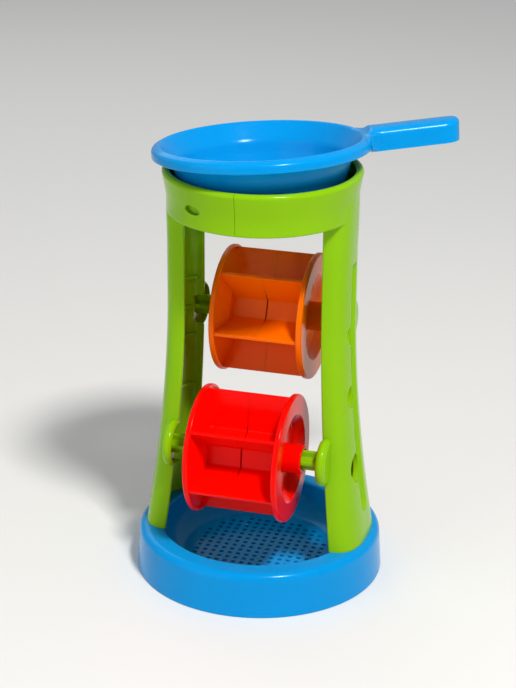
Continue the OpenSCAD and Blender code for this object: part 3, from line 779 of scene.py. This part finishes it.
# Pan: a bowl with a crested rim, a funnel and a pierced floor, tilted in the ring, with a hollow handle
panSize = dict(
    radius=71.6, skirt=5.8, wall=2, edgeSteps=7, segments=192,
    crest=66.4, crestUp=2.4, crestRound=3, crestOut=0.8, crestLong=1.2, crestDrop=0.9,
    turnLong=2.1, turnDrop=2.2,  # where the rim turns down into its skirt
    rimRound=3.5, skirtRound=0.8, skirtInRound=0.5, underIn=0.3, underRound=1.0,
    lipIn=1.6, lipUp=0.6, lipRound=5, neck=59, neckDeep=10, neckRound=14,
    straight=17, funnel=57.25, funnelRound=40, bowlRound=12,
    depth=44, bottom=47.26, bottomRound=1.8, floorIn=1.3, floorRound=3.0,
    hole=4, pitch=8, perSide=11, field=37.5, punch=6,
    tilt=5.7, uphill=-41, shift=2.306, seat=301.8, handleTurn=23,
)
handleSize = dict(
    root=69.6, end=130.4, wide=22, high=15, crown=1.6, over=6, rise=2.8,
    edge=3.6, rootEdge=0.7, leastEdge=0.5, tipWide=0.05,
    saddleFrom=65.6, saddleEdge=71.4, saddleWide=34, saddleFade=28,  # the rim rises to the handle
    rampFrom=65.0, rampLong=7.2, buried=0.5, padLow=-1.2, dropAt=69.9, fillet=5, filletLong=9,
    webIn=69.8, webTop=-3, webTurn=24, webSteps=60, webLead=2, webFade=14, webShort=0.5,
    rootTo=82, rootStations=32, stations=34, tipCrowd=2.2, across=49, under=17,
)


def panPlace():  # tilted in the ring, its handle turned to the right
    s = panSize
    uphill, tilt, handle = [math.radians(s[key]) for key in ("uphill", "tilt", "handleTurn")]
    where = (-s["shift"] * math.cos(uphill), -s["shift"] * math.sin(uphill), s["seat"])
    turn = Matrix.Rotation(uphill, 4, "Z") @ Matrix.Rotation(-tilt, 4, "Y")
    return Matrix.Translation(where) @ turn @ Matrix.Rotation(handle - uphill, 4, "Z")


def rimTop(r):  # the rim's own top, a little under its skin
    s = panSize
    slope = s["crestUp"] / (s["radius"] - s["crest"])
    outer = max(0, (r - s["radius"] + s["turnLong"]) / s["turnLong"])
    inner = max(0, (s["crest"] + s["crestOut"] - r) / s["crestLong"])
    top = s["crestUp"] - slope * (r - s["crest"])
    return top - s["turnDrop"] * outer ** 2 - s["crestDrop"] * inner ** 2 - handleSize["buried"]


def handleBar(shrink, start):  # shrunk for the hollow inside
    s = handleSize
    isSolid = shrink == 0
    half = s["wide"] / 2 - shrink
    tip = s["end"] - shrink
    bend = ((s["wide"] / 2) ** 2 + s["crown"] ** 2) / (2 * s["crown"])  # radius of the crowned top
    places = [start + (s["rootTo"] - start) * i / s["rootStations"] for i in range(s["rootStations"])]
    places += [s["rootTo"] + (tip - s["rootTo"]) * (1 - (1 - i / s["stations"]) ** s["tipCrowd"])
               for i in range(s["stations"] + 1)]
    loops = []
    for x in places:
        fromTip = tip - x
        wide = half if fromTip > half else math.sqrt(max(0, half ** 2 - (half - fromTip) ** 2))
        away = smoothStep((x - s["root"]) / s["filletLong"])
        lift = s["over"] + math.tan(math.radians(s["rise"])) * (x - s["root"])
        low = lift - s["high"] - (0 if isSolid else past)
        if isSolid:  # follows the rim's edge, then turns into the handle's side
            saddle = math.sqrt(max(0, s["saddleEdge"] ** 2 - x ** 2))
            wide = max(wide + s["fillet"] * (1 - away) ** 2, min(saddle, s["saddleWide"]))
        wide = max(wide, s["tipWide"])
        edge = max(s["leastEdge"], s["rootEdge"] + (s["edge"] - s["rootEdge"]) * away - shrink)
        loop = []
        for k in range(s["under"]):
            y = wide * math.cos(math.pi * k / (s["under"] - 1))
            turned = smoothStep((abs(y) - half) / s["fillet"])
            under = low + (-panSize["skirt"] - low) * turned
            loop.append((x, y, s["padLow"] if isSolid and x < s["dropAt"] else under))
        for k in range(s["across"]):
            y = -wide * math.cos(math.pi * k / (s["across"] - 1))
            fromSide = half - abs(y) if isSolid else wide - abs(y)
            if fromTip < half:
                fromSide = half - math.hypot(half - fromTip, y)
            drop = 0
            if fromSide < edge:
                drop = edge - math.sqrt(max(0, edge ** 2 - (edge - max(0, fromSide)) ** 2))
            fromMiddle = min(abs(y), half)
            top = lift - (bend - math.sqrt(bend ** 2 - fromMiddle ** 2)) - drop - shrink
            if isSolid:  # runs down to the rim at the root
                r = math.hypot(x, y)
                share = smoothStep((r - s["rampFrom"]) / s["rampLong"])
                if x < s["rootTo"]:
                    share *= 1 - smoothStep((abs(y) - half + s["edge"]) / s["saddleFade"])
                if abs(y) <= half:
                    share += (1 - share) * away
                top = rimTop(min(r, panSize["radius"])) * (1 - share) + top * share
            loop.append((x, y, top))
        loops.append(loop)
    return lofted(loops)


def skirtWeb():  # the skirt grows deeper towards the handle
    s, h = panSize, handleSize
    half, inside, outside, top = h["wide"] / 2, h["webIn"], h["saddleEdge"], h["webTop"]
    loops = []
    for i in range(h["webSteps"] + 1):
        a = math.radians(-h["webTurn"] + 2 * h["webTurn"] * i / h["webSteps"])
        aside = abs(s["radius"] * math.sin(a))
        fade = smoothStep((aside - half + h["webLead"]) / h["webFade"])
        low = (h["over"] - h["high"]) * (1 - fade) - (s["skirt"] - h["webShort"]) * fade
        section = ((inside, top), (inside, low), (outside, low), (outside, top))
        loops.append([(r * math.cos(a), r * math.sin(a), z) for r, z in section])
    return lofted(loops)


def sievePan():
    s = panSize
    wall, depth, edgeIn = s["wall"], s["depth"], s["radius"] - s["wall"]
    corners = [
        (0, -depth, 0), (s["bottom"], -depth, s["bottomRound"]),
        (s["funnel"], -s["straight"], s["funnelRound"]), (s["neck"], -s["neckDeep"], s["neckRound"]),
        (s["crest"] - s["underIn"], -wall, s["underRound"]), (edgeIn, -wall, s["skirtRound"]),
        (edgeIn, -s["skirt"], s["skirtInRound"]), (s["radius"], -s["skirt"], s["skirtRound"]),
        (s["radius"], 0, s["rimRound"]), (s["crest"], s["crestUp"], s["crestRound"]),
        (s["crest"] - s["lipIn"], s["lipUp"], s["lipRound"]),
        (s["neck"] - wall, -s["neckDeep"], s["bowlRound"]),
        (s["funnel"] - wall, -s["straight"], s["bowlRound"]),
        (s["bottom"] - s["floorIn"], wall - depth, s["floorRound"]), (0, wall - depth, 0)]
    pan = shaped("sievePan", spun(softCorners(corners, s["edgeSteps"]), s["segments"]))
    treeApplied(pan, pierce, pierceKeys, {
        "Pitch": s["pitch"] * mm, "Per Side": s["perSide"], "Hole": s["hole"] * mm,
        "Field": s["field"] * mm, "Height": (wall / 2 - depth) * mm,
        "Depth": s["punch"] * mm, "Plastic": paint["blue"]})
    bar = shaped("handle", handleBar(0, handleSize["saddleFrom"]))
    combined(bar, cut=[shaped("hollow", handleBar(wall, s["radius"] + past))])
    combined(pan, add=[bar, shaped("web", skirtWeb())])
    settled(pan, panPlace())
    return finished(pan, "blue", "pan", "sieve_pan")


sievePan()

# Stage, light and camera
stageSize = dict(
    half=5.0, aim=(0, 0, 0.15),  # metres
    colour="#EAE7E2", rough=0.9, wall="#E4E3E0", room="#E8EEF4", roomLight=0.4,
)
reach = stageSize["half"]
floorCorners = [(-reach, -reach, 0), (reach, -reach, 0), (reach, reach, 0), (-reach, reach, 0)]
floorMesh = bpy.data.meshes.new("paleFloor")
floorMesh.from_pydata(floorCorners, [], [(0, 1, 2, 3)])
paleFloor = bpy.data.objects.new("paleFloor", floorMesh)
scene.collection.objects.link(paleFloor)
matteBoard = bpy.data.materials.new("matteBoard")  # plain painted board, no gloss
matteBoard.use_nodes = True
boardShader = matteBoard.node_tree.nodes["Principled BSDF"]
boardShader.inputs["Base Color"].default_value = hexLinear(stageSize["colour"])
boardShader.inputs["Roughness"].default_value = stageSize["rough"]
floorMesh.materials.append(matteBoard)

lamps = {  # a small strong key from the right, a wide fill from the left and a weak light from behind
    "keyLamp": dict(at=(0.82, -0.9, 1.9), power=43, size=0.3),
    "fillLamp": dict(at=(-1.1, -1.4, 0.7), power=6, size=1.6),
    "backLamp": dict(at=(-0.9, 1.2, 1.2), power=3, size=1.0),
}
for name, lamp in lamps.items():
    light = bpy.data.lights.new(name, "AREA")
    light.energy = lamp["power"]
    light.size = lamp["size"]
    holder = bpy.data.objects.new(name, light)
    holder.location = lamp["at"]
    towards = Vector(stageSize["aim"]) - Vector(lamp["at"])
    holder.rotation_euler = towards.to_track_quat("-Z", "Y").to_euler()
    scene.collection.objects.link(holder)
world = bpy.data.worlds.new("softRoom")
world.use_nodes = True
room = world.node_tree
roomLight = room.nodes["Background"]
roomLight.inputs["Color"].default_value = hexLinear(stageSize["room"])
roomLight.inputs["Strength"].default_value = stageSize["roomLight"]
paleWall = addNode(room, "ShaderNodeBackground", inputs={
    "Color": hexLinear(stageSize["wall"]), "Strength": 1.0})
seen = addNode(room, "ShaderNodeLightPath")
wallMix = addNode(room, "ShaderNodeMixShader", inputs={
    "Fac": seen.outputs["Is Camera Ray"],  # only what the camera sees behind the floor
    "Shader": roomLight.outputs[0], "Shader_001": paleWall.outputs[0]})
room.links.new(wallMix.outputs[0], room.nodes["World Output"].inputs["Surface"])
scene.world = world

view = dict(
    at=(0.34429, -1.20068, 0.66230), around=16.131, down=21.822, roll=0.481,  # metres, degrees
    focal=2000, tall=688, shift=1.0,  # pixels
    sensor=36,  # mm
)
camera = bpy.data.cameras.new("photoCamera")
camera.sensor_fit = "AUTO"
camera.sensor_width = view["sensor"]
camera.lens = view["focal"] * view["sensor"] / view["tall"]
camera.shift_x = view["shift"] / view["tall"]
cameraHolder = bpy.data.objects.new("photoCamera", camera)
around, tip, roll = [math.radians(angle) for angle in (view["around"], 90 - view["down"], view["roll"])]
turn = Matrix.Rotation(around, 4, "Z") @ Matrix.Rotation(tip, 4, "X") @ Matrix.Rotation(roll, 4, "Z")
cameraHolder.matrix_world = Matrix.Translation(view["at"]) @ turn
scene.collection.objects.link(cameraHolder)
scene.camera = cameraHolder
print("stage, light and camera set")
